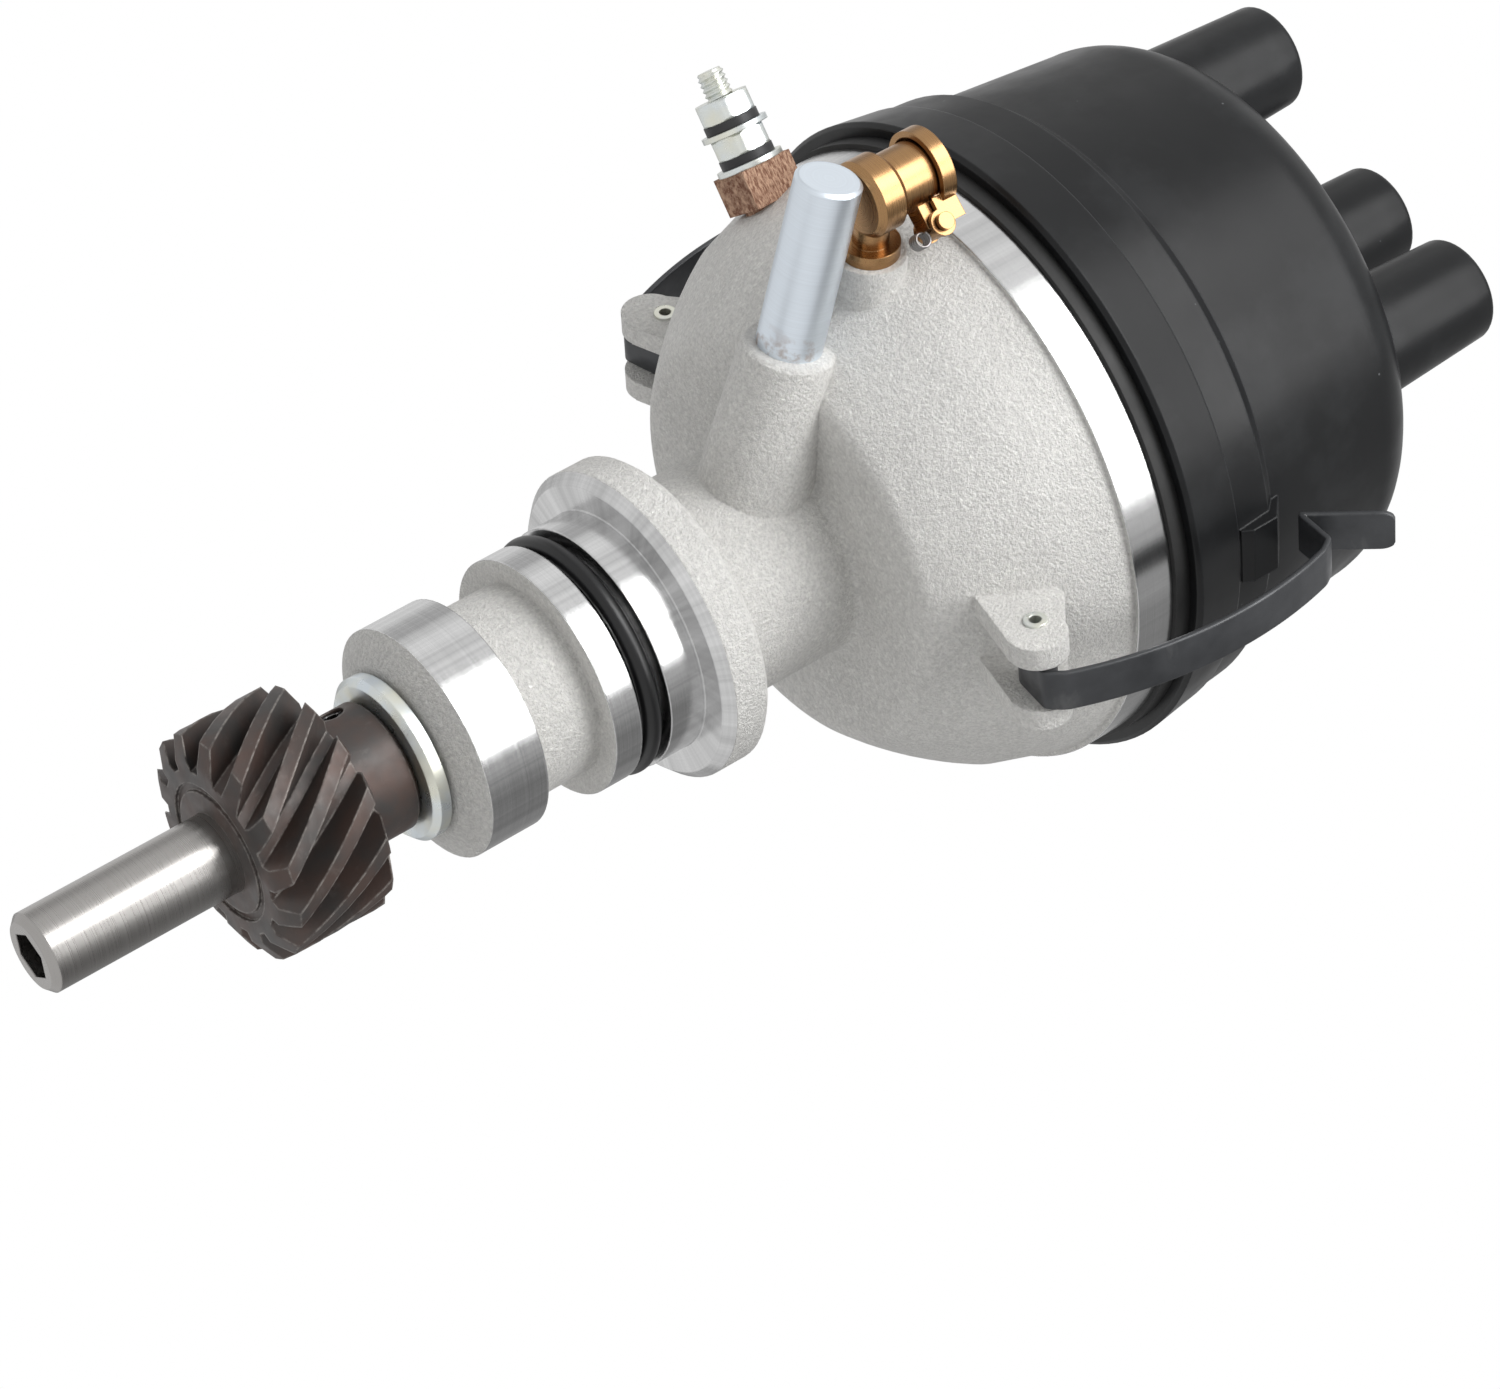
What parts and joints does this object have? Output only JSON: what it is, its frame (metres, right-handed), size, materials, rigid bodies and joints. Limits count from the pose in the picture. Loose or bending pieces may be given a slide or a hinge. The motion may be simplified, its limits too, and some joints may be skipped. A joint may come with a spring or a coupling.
{
  "type": "ignition distributor",
  "caption": "Clip-on-cap ignition distributor with a helical drive gear, round mounting flange, side terminal, side post and elbow oil cup.",
  "frame": {"origin": "on the shaft axis, in the seat face of the mounting flange", "axes": "+Z along the shaft axis towards the cap, +Y through the front spring clip, +X towards the side post"},
  "size_m": [0.1134, 0.1214, 0.2445],
  "materials": {
    "cast_aluminium": "raw casting with machined bright lands and rims",
    "black_rubber": "matt, slightly oily",
    "sintered_bronze": "oil-soaked sintered bronze",
    "zinc_steel": "bright zinc plate",
    "brass": "turned brass, satin",
    "felt": "oiled felt",
    "spring_steel": "drawn wire and strip",
    "red_laminate": "reddish brown laminate, matt",
    "black_steel": "black oxide, semi-matt",
    "lead_cover": "varnished woven cover",
    "black_phenolic": "satin moulded phenolic",
    "contact_metal": "moulded-in contacts",
    "carbon": "pressed carbon",
    "ground_steel": "ground, lightly oiled",
    "gear_steel": "phosphated brown grey with worn edges",
    "aluminium_can": "drawn can",
    "brown_phenolic": "moulded phenolic"
  },
  "bodies": {
    "base": {"housing": "cast_aluminium", "o_ring": "black_rubber", "lower_bushing": "sintered_bronze", "upper_bushing": "sintered_bronze", "side_post": "zinc_steel", "oiler_body": "brass", "oiler_wick": "felt", "oiler_lid_pin": "brass", "oiler_lid_spring": "spring_steel", "terminal_insulator": "red_laminate", "terminal_bush": "red_laminate", "terminal_stud": "zinc_steel", "terminal_nuts": "zinc_steel", "terminal_washers": "zinc_steel", "terminal_lock_washers": "black_steel", "primary_lead": "lead_cover", "clip_pins": "zinc_steel", "cap_gasket": "black_rubber", "breaker_plate": "zinc_steel", "plate_screws": "zinc_steel", "points_base": "zinc_steel", "points_screw": "zinc_steel", "points_pivot": "ground_steel", "points_spring": "spring_steel", "anchor_post": "red_laminate", "condenser": "aluminium_can", "condenser_strap": "zinc_steel", "condenser_screw": "zinc_steel", "condenser_lead": "lead_cover"},
    "cap": {"cap": "black_phenolic", "tower_inserts": "contact_metal", "brush_spring": "spring_steel"},
    "brush": {"carbon_brush": "carbon"},
    "shaft": {"drive_shaft": "ground_steel", "drive_gear": "gear_steel", "gear_pin": "zinc_steel", "thrust_washer": "zinc_steel", "advance_base": "ground_steel", "weight_pins": "ground_steel", "advance_springs": "spring_steel"},
    "weight_front": {"weight_front": "ground_steel"},
    "weight_rear": {"weight_rear": "ground_steel"},
    "cam": {"cam_sleeve": "ground_steel", "cam_felt": "felt", "rotor": "brown_phenolic", "rotor_blade": "brass"},
    "clip_front": {"clip_front": "black_steel"},
    "clip_rear": {"clip_rear": "black_steel"},
    "lid": {"oiler_lid": "brass"},
    "arm": {"points_arm": "zinc_steel"}
  },
  "joints": [
    {"name": "shaft_spin", "type": "hinge", "parent": "base", "child": "shaft", "pos_m": [0, 0, 0], "axis": [0, 0, 1], "continuous": true},
    {"name": "cam_advance", "type": "hinge", "parent": "shaft", "child": "cam", "pos_m": [0, 0, 0], "axis": [0, 0, -1], "range_deg": [0, 12.9], "stiffness_Nm_per_rad": 0.05, "springref_deg": -5.73},
    {"name": "weight_front_swing", "type": "hinge", "parent": "shaft", "child": "weight_front", "pos_m": [0.017, 0, 0], "axis": [0, 0, -1], "range_deg": [0, 8], "deforming": ["advance_springs"]},
    {"name": "weight_rear_swing", "type": "hinge", "parent": "shaft", "child": "weight_rear", "pos_m": [-0.017, 0, 0], "axis": [0, 0, -1], "range_deg": [0, 8]},
    {"name": "cap_lift", "type": "slide", "parent": "base", "child": "cap", "axis": [0, 0, 1], "range_m": [0, 0.035]},
    {"name": "clip_front_swing", "type": "hinge", "parent": "base", "child": "clip_front", "pos_m": [0, 0.046, 0.0368], "axis": [-1, 0, 0], "range_deg": [0, 80.5]},
    {"name": "clip_rear_swing", "type": "hinge", "parent": "base", "child": "clip_rear", "pos_m": [0.00321, -0.04589, 0.0438], "axis": [0.9976, 0.0698, 0], "range_deg": [0, 80.5]},
    {"name": "brush_slide", "type": "slide", "parent": "cap", "child": "brush", "axis": [0, 0, 1], "range_m": [0, 0.0015], "stiffness_N_per_m": 150, "springref_m": -0.003, "deforming": ["brush_spring"]},
    {"name": "oiler_lid_hinge", "type": "hinge", "parent": "base", "child": "lid", "pos_m": [0.05, 0.01338, 0.0498], "axis": [-0.6428, -0.766, 0], "range_deg": [0, 60], "stiffness_Nm_per_rad": 0.002, "springref_deg": -28.65},
    {"name": "points_arm_swing", "type": "hinge", "parent": "base", "child": "arm", "pos_m": [0.0152, -0.018, 0], "axis": [0, 0, -1], "range_deg": [0, 6], "stiffness_Nm_per_rad": 0.3, "springref_deg": -17.19, "deforming": ["points_spring"]}
  ],
  "couplings": [
    {"joint": "weight_front_swing", "follows": "cam_advance", "ratio": 0.62},
    {"joint": "weight_rear_swing", "follows": "cam_advance", "ratio": 0.62},
    {"joint": "clip_front_swing", "follows": "cap_lift", "rad_per_m": 40},
    {"joint": "clip_rear_swing", "follows": "cap_lift", "rad_per_m": 40}
  ]
}
